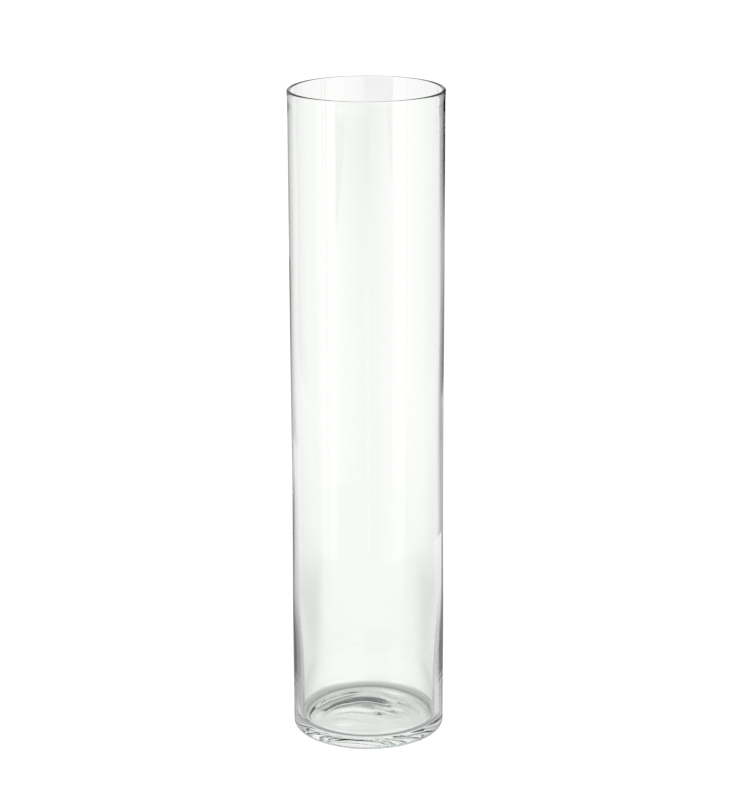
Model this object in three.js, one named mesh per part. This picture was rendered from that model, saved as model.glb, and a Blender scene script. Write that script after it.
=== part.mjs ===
// A tall clear glass cylinder vase, standing upright: one piece of glass with a fire-polished rim, a wall
// that thickens towards the foot, a heavy base and a shallow push-up under it.
//
// Millimetres, +Z up. The origin is the centre of the foot, on the surface that the vase stands on.
import * as THREE from "three";

// Driving dimensions
const HEIGHT = 680;
const WALL_RADIUS = 79; // outside of the straight wall
const RIM_RADIUS = 79.4; // outside of the rounded rim, the widest part
const UPPER_WALL = 3.5; // glass thickness over most of the height
const LOWER_WALL = 7; // glass thickness where the wall meets the base
const THICKENING_TOP = 150; // above this height the wall has its upper thickness
const THICKENING_FOOT = 24; // below this height it has its lower thickness
const FLOOR_THICKNESS = 10; // from the foot's plane to the inside floor
const FLOOR_CORNER = 10; // inside radius between floor and wall
const HEEL = 5; // outside radius between wall and foot
const PUSH_UP = 5; // depth of the hollow under the base
const PUSH_UP_RADIUS = 66; // radius of that hollow, where the flat foot ring begins
const BEAD_RADIUS = 1.8; // the rim's rounded section
const BEAD_BLEND = 12; // height over which the bead runs out into the wall

// Smoothness
const SEGMENTS = 96; // round the axis
const DOME_STEPS = 6;
const HEEL_STEPS = 6;
const BEAD_STEPS = 8;
const BLEND_STEPS = 4;
const THICKENING_STEPS = 8;
const CORNER_STEPS = 6;

// Points on an arc, both ends included. Angles are in degrees, anticlockwise from the radial direction.
function arc(centreRadius, centreHeight, radius, from, to, steps) {
  const points = [];
  for (let i = 0; i <= steps; i++) {
    const angle = THREE.MathUtils.degToRad(from + ((to - from) * i) / steps);
    const x = centreRadius + radius * Math.cos(angle);
    points.push(new THREE.Vector2(x, centreHeight + radius * Math.sin(angle)));
  }
  return points;
}

// The hollow under the base, a shallow dome from the axis out to the foot ring.
function pushUp() {
  const points = [];
  for (let i = 0; i <= DOME_STEPS; i++) {
    const share = i / DOME_STEPS;
    points.push(new THREE.Vector2(share * PUSH_UP_RADIUS, PUSH_UP * (1 - share ** 2)));
  }
  return points;
}

// The rounded heel, from the foot ring's outer edge up to the wall.
function heel() {
  return arc(WALL_RADIUS - HEEL, HEEL, HEEL, -90, 0, HEEL_STEPS);
}

// The outside of the wall easing out to the bead, then the bead over to the inside of the wall.
function rim() {
  const beadCentre = RIM_RADIUS - BEAD_RADIUS;
  const beadHeight = HEIGHT - BEAD_RADIUS;
  const points = [];
  for (let i = 0; i < BLEND_STEPS; i++) {
    const share = i / BLEND_STEPS;
    const radius = THREE.MathUtils.lerp(WALL_RADIUS, RIM_RADIUS, THREE.MathUtils.smoothstep(share, 0, 1));
    points.push(new THREE.Vector2(radius, beadHeight - BEAD_BLEND * (1 - share)));
  }
  return points.concat(arc(beadCentre, beadHeight, BEAD_RADIUS, 0, 180, BEAD_STEPS));
}

// The inside of the wall, from below the bead down to the floor's corner.
function insideWall() {
  const points = [];
  for (let i = 0; i <= THICKENING_STEPS; i++) {
    const share = i / THICKENING_STEPS;
    const height = THREE.MathUtils.lerp(THICKENING_TOP, THICKENING_FOOT, share);
    const thickness = THREE.MathUtils.lerp(UPPER_WALL, LOWER_WALL, THREE.MathUtils.smoothstep(share, 0, 1));
    points.push(new THREE.Vector2(WALL_RADIUS - thickness, height));
  }
  return points;
}

// The rounded corner inside, from the wall down to the flat floor, and the floor's centre.
function floor() {
  const centreRadius = WALL_RADIUS - LOWER_WALL - FLOOR_CORNER;
  const corner = arc(centreRadius, FLOOR_THICKNESS + FLOOR_CORNER, FLOOR_CORNER, 0, -90, CORNER_STEPS);
  return corner.concat([new THREE.Vector2(0, FLOOR_THICKNESS)]);
}

// The whole section, outside first, from the axis under the base to the axis on the inside floor.
const section = [...pushUp(), ...heel(), ...rim(), ...insideWall(), ...floor()];

const glass = new THREE.MeshStandardMaterial({
  color: 0xeef4f0,
  roughness: 0.02,
  metalness: 0,
  transparent: true,
  opacity: 0.3,
});

const vase = new THREE.Mesh(new THREE.LatheGeometry(section, SEGMENTS), glass);
vase.name = "glass_cylinder";
vase.rotation.x = Math.PI / 2; // LatheGeometry turns about Y, and the vase stands along Z

const group = new THREE.Group();
group.add(vase);

export default group;
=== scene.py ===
import math

import bpy
from mathutils import Matrix, Vector


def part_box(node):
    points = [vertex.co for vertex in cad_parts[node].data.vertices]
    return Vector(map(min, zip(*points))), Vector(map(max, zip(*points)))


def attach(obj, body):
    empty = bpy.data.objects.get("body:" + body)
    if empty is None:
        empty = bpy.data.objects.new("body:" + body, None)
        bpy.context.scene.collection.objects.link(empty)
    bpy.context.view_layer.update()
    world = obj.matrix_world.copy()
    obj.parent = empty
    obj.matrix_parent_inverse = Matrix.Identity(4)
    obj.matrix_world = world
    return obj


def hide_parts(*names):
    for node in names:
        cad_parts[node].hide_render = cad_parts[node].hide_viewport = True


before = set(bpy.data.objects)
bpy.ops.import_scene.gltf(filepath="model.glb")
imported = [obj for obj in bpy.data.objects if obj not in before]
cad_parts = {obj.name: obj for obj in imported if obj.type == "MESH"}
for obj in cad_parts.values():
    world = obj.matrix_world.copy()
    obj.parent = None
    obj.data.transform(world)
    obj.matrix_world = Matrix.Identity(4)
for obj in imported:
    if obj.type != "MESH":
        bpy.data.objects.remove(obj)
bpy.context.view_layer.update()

# The vase's section. Its height and widest radius come from the CAD, and the rest repeats the CAD's sizes.
LOW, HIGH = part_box("glass_cylinder")
HEIGHT = HIGH[2] - LOW[2]
INSIDE_CAD = 0.00002  # keeps the visual model just inside the CAD box
RIM_RADIUS = HIGH[0] - INSIDE_CAD
FLARE = 0.0004  # how far the rim stands out from the wall
WALL_RADIUS = RIM_RADIUS - FLARE
UPPER_WALL = 0.0035
LOWER_WALL = 0.0070
THICKENING_TOP = 0.150
THICKENING_FOOT = 0.024
FLOOR_THICKNESS = 0.010
CORNER = 0.010
HEEL = 0.005
PUSH_UP = 0.0050
PUSH_UP_RADIUS = 0.066
BEAD_RADIUS = 0.0018
BEAD_BLEND = 0.012

# Smoothness of each stretch of the section, and round the axis
DOME_STEPS = 28
HEEL_STEPS = 12
WALL_STEPS = 24
BLEND_STEPS = 12
BEAD_STEPS = 14
INSIDE_STEPS = 28
CORNER_STEPS = 16
FLOOR_STEPS = 16
SEGMENTS = 640

# How the wall bows: a slight waist and, below it, a slight fullness
WAIST_AT = 0.278
WAIST_SPREAD = 0.16
WAIST_IN = 0.00045
FULL_AT = 0.115
FULL_SPREAD = 0.055
FULL_OUT = 0.00036
BOW_FOOT = 0.012  # the bow starts above this height
BOW_FOOT_FADE = 0.03
BOW_TOP = 0.03  # and ends this far below the rim
BOW_TOP_FADE = 0.05
BOW_RADIUS_SHARE = 0.65  # and it fades in from this share of the wall's radius
BOW_RADIUS_FADE = 0.25

# Unevenness of the inner wall: lobes round the axis, twist in radians a metre, phase and weight of each wave
INNER_STRAY = 0.00008
INNER_WAVES = ((3, 9, 0, 1.0), (7, -23, 1, 0.6))

# Unevenness of the inside floor
FLOOR_STRAY = 0.0003
FLOOR_LOBES = 3
FLOOR_TWIST = 90
FLOOR_MARGIN = 0.012
FLOOR_FADE = 0.02
FLOOR_RISE = 0.004  # it has died out this far up the corner

# The hollow underneath: how far it leans to each side, and its chill rings
LEAN_X = -0.6
LEAN_Y = -0.9
CHILL = 0.00006
CHILL_FINE = 0.12
FINE_PITCH = 2.7
FINE_WANDER = 2
SWIRL = 300  # radians a metre outwards
SWIRL_WAVES = ((2, 1, 1.1), (3, 0, 0.8))  # lobes, phase and weight
RINGS_EDGE = 8  # how sharply the rings die out at the edge and at the centre of the hollow
RINGS_CENTRE = 5

# Glass
IOR = 1.52
TINT = (0.99, 1, 0.987, 1)
DEPTH_COLOUR = (0.72, 0.93, 0.80, 1)
DEPTH_DENSITY = 1.2
DRAW_DEPTH = 0.00002
DRAW_STRETCH = (1, 1, 0.12)
DRAW_SCALE = 30
WRINKLE_DEPTH = 0.00001
WRINKLE_STRETCH = (1, 1, 2.5)
WRINKLE_SCALE = 70
WRINKLE_REACH = (0.004, 0.05)
SCUFF_ROUGHNESS = 0.25
SCUFF_REACH = (0.0001, 0.0006)
SMUDGE_ROUGHNESS = 0.004
SMUDGE_SCALE = 9
SMUDGE_RANGE = (0.5, 0.75)


def smooth(share):
    """An S-shaped ease from 0 to 1, which stays at 0 before it and at 1 after it."""
    share = min(max(share, 0.0), 1.0)
    return share * share * (3 - 2 * share)


def arc(centre, radius, start, end, steps):
    """Points on an arc, both ends included. Angles are in degrees, anticlockwise from the radial way."""
    points = []
    for i in range(steps + 1):
        angle = math.radians(start + (end - start) * i / steps)
        points.append((centre[0] + radius * math.cos(angle), centre[1] + radius * math.sin(angle)))
    return points


def push_up():
    """The hollow under the base, a shallow dome from the axis out to the foot ring."""
    shares = [i / DOME_STEPS for i in range(DOME_STEPS + 1)]
    return [(share * PUSH_UP_RADIUS, PUSH_UP * (1 - share ** 2)) for share in shares]


def outside():
    """The heel, the wall, its flare and the bead over the rim to the inside."""
    points = arc((WALL_RADIUS - HEEL, HEEL), HEEL, -90, 0, HEEL_STEPS)
    bead_height = HEIGHT - BEAD_RADIUS
    for i in range(1, WALL_STEPS):
        points.append((WALL_RADIUS, HEEL + (bead_height - BEAD_BLEND - HEEL) * i / WALL_STEPS))
    for i in range(BLEND_STEPS):
        share = i / BLEND_STEPS
        radius = WALL_RADIUS + FLARE * smooth(share)
        points.append((radius, bead_height - BEAD_BLEND * (1 - share)))
    return points + arc((RIM_RADIUS - BEAD_RADIUS, bead_height), BEAD_RADIUS, 0, 180, BEAD_STEPS)


def inside():
    """The inner wall down to the corner, the corner and the floor in to the axis."""
    top = HEIGHT - BEAD_RADIUS
    foot = FLOOR_THICKNESS + CORNER
    points = []
    for i in range(1, INSIDE_STEPS):
        z = top + (foot - top) * i / INSIDE_STEPS
        share = (THICKENING_TOP - z) / (THICKENING_TOP - THICKENING_FOOT)
        points.append((WALL_RADIUS - UPPER_WALL - (LOWER_WALL - UPPER_WALL) * smooth(share), z))
    edge = WALL_RADIUS - LOWER_WALL - CORNER
    points += arc((edge, foot), CORNER, 0, -90, CORNER_STEPS)
    for i in range(1, FLOOR_STEPS + 1):
        points.append((edge * (1 - i / FLOOR_STEPS), FLOOR_THICKNESS))
    return points


def section():
    """The section as (radius, height, side of the glass), from the axis below to the axis inside."""
    stretches = (("under", push_up()), ("outside", outside()), ("inside", inside()))
    return [(radius, z, side) for side, points in stretches for radius, z in points]


def bow(z):
    """How far the wall strays from a straight one at a height."""
    waist = math.exp(-((z - WAIST_AT) / WAIST_SPREAD) ** 2)
    full = math.exp(-((z - FULL_AT) / FULL_SPREAD) ** 2)
    return FULL_OUT * full - WAIST_IN * waist


def chill(radius, angle):
    """The height of the chill rings at a place under the base."""
    share = radius / PUSH_UP_RADIUS
    fade = smooth((1 - share) * RINGS_EDGE) * smooth(share * RINGS_CENTRE)
    swirl = SWIRL * radius
    for lobes, phase, weight in SWIRL_WAVES:
        swirl += weight * math.sin(lobes * angle + phase)
    fine = CHILL_FINE * math.sin(FINE_PITCH * swirl + FINE_WANDER * math.sin(angle))
    return fade * CHILL * (math.sin(swirl) + fine)


def strayed(radius, height, side, angle):
    """A point of the section at an angle round the axis, moved as real glass strays from a true figure."""
    wall = smooth((height - BOW_FOOT) / BOW_FOOT_FADE)
    wall *= smooth((HEIGHT - BOW_TOP - height) / BOW_TOP_FADE)
    wall *= smooth((radius / WALL_RADIUS - BOW_RADIUS_SHARE) / BOW_RADIUS_FADE)
    radius += wall * bow(height)
    if side == "inside":
        for lobes, twist, phase, weight in INNER_WAVES:
            radius += wall * INNER_STRAY * weight * math.sin(lobes * angle + twist * height + phase)
        flat = smooth((WALL_RADIUS - FLOOR_MARGIN - radius) / FLOOR_FADE)
        flat *= 1 - smooth((height - FLOOR_THICKNESS) / FLOOR_RISE)
        wave = math.sin(FLOOR_LOBES * angle + FLOOR_TWIST * radius)
        height += flat * FLOOR_STRAY * wave * radius / WALL_RADIUS
    if side == "under":
        share = radius / PUSH_UP_RADIUS
        height *= 1 + share * (LEAN_X * math.cos(angle) + LEAN_Y * math.sin(angle))
        height += chill(radius, angle)
    return radius, max(height, 0.0)


def lathe(name, points, segments):
    """A closed body round the axis. The first and last points lie on the axis."""
    verts = [(0.0, 0.0, points[0][1])]
    rings = points[1:-1]
    for ring_radius, ring_height, side in rings:
        for j in range(segments):
            angle = 2 * math.pi * j / segments
            radius, z = strayed(ring_radius, ring_height, side, angle)
            verts.append((radius * math.cos(angle), radius * math.sin(angle), z))
    verts.append((0.0, 0.0, points[-1][1]))
    last = len(verts) - 1
    faces = []
    for j in range(segments):
        k = (j + 1) % segments
        faces.append((0, 1 + k, 1 + j))
        for i in range(len(rings) - 1):
            lower = 1 + i * segments
            upper = lower + segments
            faces.append((lower + j, lower + k, upper + k, upper + j))
        end = 1 + (len(rings) - 1) * segments
        faces.append((last, end + j, end + k))
    mesh = bpy.data.meshes.new(name)
    mesh.from_pydata(verts, [], faces)
    mesh.update()
    mesh.shade_smooth()
    obj = bpy.data.objects.new(name, mesh)
    bpy.context.collection.objects.link(obj)
    return obj


def calc(nt, kind, first, second=None):
    """A Math node. Each operand is a number or another node's output."""
    node = nt.nodes.new("ShaderNodeMath")
    node.operation = kind
    for socket, value in zip(node.inputs, (first, second)):
        if isinstance(value, (int, float)):
            socket.default_value = value
        elif value is not None:
            nt.links.new(value, socket)
    return node.outputs[0]


def eased(nt, source, span, first, last):
    """A smooth change from one value to another as the source crosses a span."""
    node = nt.nodes.new("ShaderNodeMapRange")
    node.interpolation_type = "SMOOTHSTEP"
    node.inputs["From Min"].default_value = span[0]
    node.inputs["From Max"].default_value = span[1]
    node.inputs["To Min"].default_value = first
    node.inputs["To Max"].default_value = last
    nt.links.new(source, node.inputs["Value"])
    return node.outputs["Result"]


def ramp(nt, source, stops):
    """A grey ramp with eased steps, from pairs of place and value."""
    node = nt.nodes.new("ShaderNodeValToRGB")
    node.color_ramp.interpolation = "EASE"
    while len(node.color_ramp.elements) < len(stops):
        node.color_ramp.elements.new(0.5)
    for stop, (place, value) in zip(node.color_ramp.elements, stops):
        stop.position = place
        stop.color = (value, value, value, 1)
    nt.links.new(source, node.inputs["Fac"])
    return node.outputs["Color"]


def object_place(nt):
    """The shading point in the object's own coordinates: the vector, and its X, Y and Z."""
    coords = nt.nodes.new("ShaderNodeTexCoord")
    split = nt.nodes.new("ShaderNodeSeparateXYZ")
    nt.links.new(coords.outputs["Object"], split.inputs["Vector"])
    return coords.outputs["Object"], split.outputs["X"], split.outputs["Y"], split.outputs["Z"]


def noise(nt, vector, stretch, scale, detail):
    """Noise with its own stretch along each axis."""
    mapping = nt.nodes.new("ShaderNodeMapping")
    mapping.inputs["Scale"].default_value = stretch
    texture = nt.nodes.new("ShaderNodeTexNoise")
    texture.inputs["Scale"].default_value = scale
    texture.inputs["Detail"].default_value = detail
    nt.links.new(vector, mapping.inputs["Vector"])
    nt.links.new(mapping.outputs["Vector"], texture.inputs["Vector"])
    return texture.outputs["Fac"]


def glass_material():
    """Clear glass with draw lines, wrinkles near the base, a scuffed foot ring, smudges and a green depth."""
    mat = bpy.data.materials.new("clear_glass")
    mat.use_nodes = True
    nt = mat.node_tree
    bsdf = nt.nodes["Principled BSDF"]
    bsdf.inputs["Base Color"].default_value = TINT
    bsdf.inputs["IOR"].default_value = IOR
    bsdf.inputs["Transmission Weight"].default_value = 1.0
    place, _, _, height = object_place(nt)

    draw_lines = calc(nt, "MULTIPLY", noise(nt, place, DRAW_STRETCH, DRAW_SCALE, 1), DRAW_DEPTH)
    wrinkle_depth = eased(nt, height, WRINKLE_REACH, WRINKLE_DEPTH, 0)
    wrinkles = calc(nt, "MULTIPLY", noise(nt, place, WRINKLE_STRETCH, WRINKLE_SCALE, 2), wrinkle_depth)
    bump = nt.nodes.new("ShaderNodeBump")
    bump.inputs["Distance"].default_value = 1
    nt.links.new(calc(nt, "ADD", draw_lines, wrinkles), bump.inputs["Height"])
    nt.links.new(bump.outputs["Normal"], bsdf.inputs["Normal"])

    scuff = eased(nt, height, SCUFF_REACH, SCUFF_ROUGHNESS, 0)
    patches = eased(nt, noise(nt, place, (1, 1, 1), SMUDGE_SCALE, 3), SMUDGE_RANGE, 0, 1)
    smudges = calc(nt, "MULTIPLY", patches, SMUDGE_ROUGHNESS)
    nt.links.new(calc(nt, "ADD", scuff, smudges), bsdf.inputs["Roughness"])

    depth = nt.nodes.new("ShaderNodeVolumeAbsorption")
    depth.inputs["Color"].default_value = DEPTH_COLOUR
    depth.inputs["Density"].default_value = DEPTH_DENSITY
    nt.links.new(depth.outputs["Volume"], nt.nodes["Material Output"].inputs["Volume"])
    return mat


glass = lathe("glass_vase", section(), SEGMENTS)
glass.data.materials.append(glass_material())
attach(glass, "root")
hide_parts("glass_cylinder")

# Camera. Its focal length in pixels was fitted for an image 791 pixels tall, its longer side.
SENSOR = 36
IMAGE_HEIGHT = 791
FOCAL_LENGTH_PX = 2649.0
CAMERA_DISTANCE = 2.617
CAMERA_HEIGHT = 1.125
AIM_X = -0.0024
AIM_HEIGHT = 0.3614
ROLL = -0.23
CLIP_END = 100

cam_data = bpy.data.cameras.new("camera")
cam = bpy.data.objects.new("camera", cam_data)
bpy.context.collection.objects.link(cam)
cam_data.sensor_width = SENSOR
cam_data.lens = FOCAL_LENGTH_PX / IMAGE_HEIGHT * SENSOR
cam_data.clip_end = CLIP_END
cam.location = (0, -CAMERA_DISTANCE, CAMERA_HEIGHT)
sight = Vector((AIM_X, 0, AIM_HEIGHT)) - cam.location
cam.rotation_mode = "QUATERNION"
roll = Matrix.Rotation(math.radians(ROLL), 3, "Z").to_quaternion()
cam.rotation_quaternion = sight.to_track_quat("-Z", "Y") @ roll
bpy.context.scene.camera = cam

# The studio. X runs to the right, and Y away from the camera.
WHITE_SEEN = 1.10  # the floor, the backdrop and the world as the camera sees them
WHITE = 0.953  # the floor and the backdrop as the glass sees them
DARK = 0.06  # the world as the glass sees it
SWEEP_HALF = 1.8
SWEEP_BACK = 3.0
SWEEP_FRONT = 4.5
SWEEP_HIGH = 1.0

# How the floor's light dims, for the glass only: a painted contact shadow under the vase, painted shadow in a
# band at each side, and dimmer light far in front
SHADE_MID = 0.9
SHADE_RING = 0.33
SHADE_IN = 0.060
SHADE_RING_AT = 0.075
SHADE_OUT = 0.094
SHADE_REACH = SHADE_OUT + 0.02
SIDE_DIM = 0.22
SIDE_NEAR = (0.050, 0.092)
SIDE_FAR = (0.15, 0.4)
RUN_START = (-0.25, -0.08)
RUN_END = (0.25, 0.7)
FRONT_DIM = 0.3
FRONT_SPAN = (-4.0, -1.5)

# Flags beside the vase, running back from the front. They glow white at the top, with painted shade darkening
# them toward the foot.
FLAG_X = 0.100
FLAG_BACK = 0.30
FLAG_SLOPE = 0.16
FLAG_TOP = 0.30
FLAG_FOOT = 0.05
FLAG_FOOT_SHADE = 0.45
FLAG_FRONT_L = -0.01
FLAG_FRONT_R = 0.03

# Narrow strips close beside and behind the vase, as inner and outer distances from its axis. They are dark
# sheets of painted shade, which the glass shows as dark lines along its edges.
STRIP_HIGH = 0.75
EDGE_BACK = 0.008
EDGE_SPAN = (0.0795, 0.0880)
EDGE_SHADE = 0.42
EDGE_FADE = (0.50, 0.62)
STRIP_BACK = 0.020
STRIP_NONE = (0.0885, 0.0890)
STRIP_WIDE = (0.0808, 0.0890)
STRIP_FULL_TO = 0.10
STRIP_GONE_BY = 0.24
STRIP_SHADE_L = 0.22
STRIP_SHADE_R = 0.08
TOP_STRIP_WIDE = (0.0797, 0.0890)
TOP_STRIP_FROM = 0.46
TOP_STRIP_FULL = 0.66

# Curved panels: spans in degrees from the camera's side, and light from one end to the other
PANEL_STEPS = 40
BOX_RADIUS = 0.6
BOX_HEIGHTS = (0.02, 1.4)
BOX_L = (44, 150)
BOX_R = (4, 150)
LIGHT_L = ((0, 1.45), (0.25, 1.25), (0.32, 1.0), (1, 0.7))
LIGHT_R = ((0, 0.75), (0.15, 1.1), (0.3, 1.4), (0.5, 1.2), (0.7, 0.9), (1, 0.4))
FAR_RADIUS = 2.0
BACK_SPAN = (140, 178)
BACK_HEIGHTS = (0.5, 0.80)
TOP_SPAN = (150, 180)
TOP_HEIGHTS = (0.955, 2.2)
TOP_LIGHT = 1.0


def emitter(name, strength, seen=None):
    """A glowing material. With seen given, the camera sees that strength and everything else the first."""
    mat = bpy.data.materials.new(name)
    mat.use_nodes = True
    nt = mat.node_tree
    nt.nodes.clear()
    out = nt.nodes.new("ShaderNodeOutputMaterial")
    emission = nt.nodes.new("ShaderNodeEmission")
    emission.inputs["Strength"].default_value = strength
    if seen is not None:
        path = nt.nodes.new("ShaderNodeLightPath")
        mix = nt.nodes.new("ShaderNodeMix")
        mix.inputs["A"].default_value = strength
        mix.inputs["B"].default_value = seen
        nt.links.new(path.outputs["Is Camera Ray"], mix.inputs["Factor"])
        nt.links.new(mix.outputs["Result"], emission.inputs["Strength"])
    nt.links.new(emission.outputs[0], out.inputs["Surface"])
    return mat


def shade_floor(mat):
    """Paint shade into the floor's light: a painted contact shadow under the vase, painted shadow at both
    sides and dimmer light far in front. The camera doesn't see it.
    """
    nt = mat.node_tree
    place, x, y, _ = object_place(nt)
    length = nt.nodes.new("ShaderNodeVectorMath")
    length.operation = "LENGTH"
    nt.links.new(place, length.inputs[0])
    from_axis = calc(nt, "DIVIDE", length.outputs["Value"], SHADE_REACH)
    under = ramp(nt, from_axis, (
        (0, SHADE_MID),
        (SHADE_IN / SHADE_REACH, SHADE_MID),
        (SHADE_RING_AT / SHADE_REACH, SHADE_RING),
        (SHADE_OUT / SHADE_REACH, 1),
    ))
    light = calc(nt, "MULTIPLY", under, WHITE)
    aside = calc(nt, "ABSOLUTE", x)
    band = calc(nt, "MULTIPLY", eased(nt, aside, SIDE_NEAR, 0, 1), eased(nt, aside, SIDE_FAR, 1, 0))
    band = calc(nt, "MULTIPLY", band, eased(nt, y, RUN_END, 1, 0))
    band = calc(nt, "MULTIPLY", band, eased(nt, y, RUN_START, 0, 1))
    light = calc(nt, "MULTIPLY", light, eased(nt, band, (0, 1), 1, 1 - SIDE_DIM))
    light = calc(nt, "MULTIPLY", light, eased(nt, y, FRONT_SPAN, FRONT_DIM, 1))
    nt.links.new(light, nt.nodes["Mix"].inputs["A"])


# The whole studio turns with the camera, so every view gets the light of the photo's view. The vase stays.
rig = bpy.data.objects.new("turntable", None)
bpy.context.collection.objects.link(rig)
track = rig.constraints.new("LOCKED_TRACK")
track.target = cam
track.track_axis = "TRACK_NEGATIVE_Y"
track.lock_axis = "LOCK_Z"


def studio_object(name, verts, faces, mat):
    """A part of the studio, which turns with it."""
    mesh = bpy.data.meshes.new(name)
    mesh.from_pydata(verts, [], faces)
    mesh.materials.append(mat)
    obj = bpy.data.objects.new(name, mesh)
    bpy.context.collection.objects.link(obj)
    obj.parent = rig
    return obj


def unseen(obj):
    """Hide a part of the studio from the camera. It still shows in and through the glass."""
    obj.visible_camera = False
    obj.visible_diffuse = False
    obj.visible_shadow = False
    return obj


def curved(name, side, span, radius, heights, light):
    """An upright curved panel round the vase, between two angles from the camera's side."""
    verts = []
    for i in range(PANEL_STEPS + 1):
        angle = math.radians(span[0] + (span[1] - span[0]) * i / PANEL_STEPS)
        x = side * radius * math.sin(angle)
        y = -radius * math.cos(angle)
        verts += [(x, y, z) for z in heights]
    faces = [(2 * i, 2 * i + 2, 2 * i + 3, 2 * i + 1) for i in range(PANEL_STEPS)]
    mat = emitter(name, 1)
    nt = mat.node_tree
    peak = max(value for place, value in light)
    along = nt.nodes.new("ShaderNodeAttribute")
    along.attribute_name = "along"
    shares = ramp(nt, along.outputs["Fac"], [(place, value / peak) for place, value in light])
    nt.links.new(calc(nt, "MULTIPLY", shares, peak), nt.nodes["Emission"].inputs["Strength"])
    obj = studio_object(name, verts, faces, mat)
    attribute = obj.data.attributes.new("along", "FLOAT", "POINT")
    attribute.data.foreach_set("value", [i / PANEL_STEPS for i in range(PANEL_STEPS + 1) for z in heights])
    return unseen(obj)


def graded(name, heights, low_strength, high_strength):
    """A glowing material that eases from one strength to another between two heights."""
    mat = emitter(name, 1)
    nt = mat.node_tree
    z = object_place(nt)[3]
    strength = eased(nt, z, heights, low_strength, high_strength)
    nt.links.new(strength, nt.nodes["Emission"].inputs["Strength"])
    return mat


def flag(name, side, front):
    """An upright flag beside the vase, running back from the front and slightly outwards. It glows, with
    painted shade darkening it toward the foot.
    """
    near = side * FLAG_X
    far = side * (FLAG_X + FLAG_SLOPE * (FLAG_BACK - front))
    verts = [(near, front, 0), (far, FLAG_BACK, 0), (far, FLAG_BACK, FLAG_TOP), (near, front, FLAG_TOP)]
    mat = graded(name, (FLAG_FOOT, FLAG_TOP), FLAG_FOOT_SHADE, WHITE)
    return unseen(studio_object(name, verts, [(0, 1, 2, 3)], mat))


def strip(name, side, back, levels, mat):
    """A narrow upright strip beside the vase, from a height and two distances from the axis at each level.
    Its dark glow is painted shade, which the glass shows as a dark edge line.
    """
    verts = []
    for z, span in levels:
        verts += [(side * distance, back, z) for distance in span]
    faces = [(2 * i, 2 * i + 1, 2 * i + 3, 2 * i + 2) for i in range(len(levels) - 1)]
    return unseen(studio_object(name, verts, faces, mat))


white = emitter("white", WHITE, WHITE_SEEN)
# The floor is evenly white to the camera and carries painted shadow for the glass
floor_painted_shadow = emitter("floor", WHITE, WHITE_SEEN)
shade_floor(floor_painted_shadow)
floor_outline = [
    (-SWEEP_HALF, -SWEEP_FRONT, 0),
    (SWEEP_HALF, -SWEEP_FRONT, 0),
    (SWEEP_HALF, SWEEP_BACK, 0),
    (-SWEEP_HALF, SWEEP_BACK, 0),
]
backdrop_outline = [
    (-SWEEP_HALF, SWEEP_BACK, 0),
    (SWEEP_HALF, SWEEP_BACK, 0),
    (SWEEP_HALF, SWEEP_BACK, SWEEP_HIGH),
    (-SWEEP_HALF, SWEEP_BACK, SWEEP_HIGH),
]
studio_object("floor", floor_outline, [(0, 1, 2, 3)], floor_painted_shadow)
studio_object("backdrop", backdrop_outline, [(0, 1, 2, 3)], white)
# Flags: glowing sheets with painted shade darkening them toward the foot
flag("flag_l", -1, FLAG_FRONT_L)
flag("flag_r", 1, FLAG_FRONT_R)

# Dark strips of painted shade, which the glass shows as dark lines along its edges
whole = [(0, EDGE_SPAN), (STRIP_HIGH, EDGE_SPAN)]
low_part = [(0, STRIP_WIDE), (STRIP_FULL_TO, STRIP_WIDE), (STRIP_GONE_BY, STRIP_NONE)]
high_part = [(TOP_STRIP_FROM, STRIP_NONE), (TOP_STRIP_FULL, TOP_STRIP_WIDE), (STRIP_HIGH, TOP_STRIP_WIDE)]
strip("edge_l", -1, EDGE_BACK, whole, emitter("edge_l", EDGE_SHADE))
strip("edge_r", 1, EDGE_BACK, whole, graded("edge_r", EDGE_FADE, EDGE_SHADE, 0.0))
strip("strip_l", -1, STRIP_BACK, low_part, emitter("strip_l", STRIP_SHADE_L))
strip("strip_r", 1, STRIP_BACK, low_part, emitter("strip_r", STRIP_SHADE_R))
strip("strip_top", 1, STRIP_BACK, high_part, emitter("strip_top", 0.0))

curved("back_r", 1, BACK_SPAN, FAR_RADIUS, BACK_HEIGHTS, ((0, WHITE), (1, WHITE)))
curved("top_l", -1, TOP_SPAN, FAR_RADIUS, TOP_HEIGHTS, ((0, TOP_LIGHT), (1, TOP_LIGHT)))
curved("top_r", 1, TOP_SPAN, FAR_RADIUS, TOP_HEIGHTS, ((0, TOP_LIGHT), (1, TOP_LIGHT)))
curved("box_l", -1, BOX_L, BOX_RADIUS, BOX_HEIGHTS, LIGHT_L)
curved("box_r", 1, BOX_R, BOX_RADIUS, BOX_HEIGHTS, LIGHT_R)

# The world is white to the camera and nearly black to everything else.
world = bpy.data.worlds.new("studio")
world.use_nodes = True
world_nt = world.node_tree
background = world_nt.nodes["Background"]
background.inputs["Color"].default_value = (1, 1, 1, 1)
world_path = world_nt.nodes.new("ShaderNodeLightPath")
world_mix = world_nt.nodes.new("ShaderNodeMix")
world_mix.inputs["A"].default_value = DARK
world_mix.inputs["B"].default_value = WHITE_SEEN
world_nt.links.new(world_path.outputs["Is Camera Ray"], world_mix.inputs["Factor"])
world_nt.links.new(world_mix.outputs["Result"], background.inputs["Strength"])
bpy.context.scene.world = world

# Light crosses the glass many times before it leaves
scene = bpy.context.scene
scene.view_settings.view_transform = "Standard"
scene.cycles.max_bounces = 32
scene.cycles.transmission_bounces = 24
scene.cycles.glossy_bounces = 12
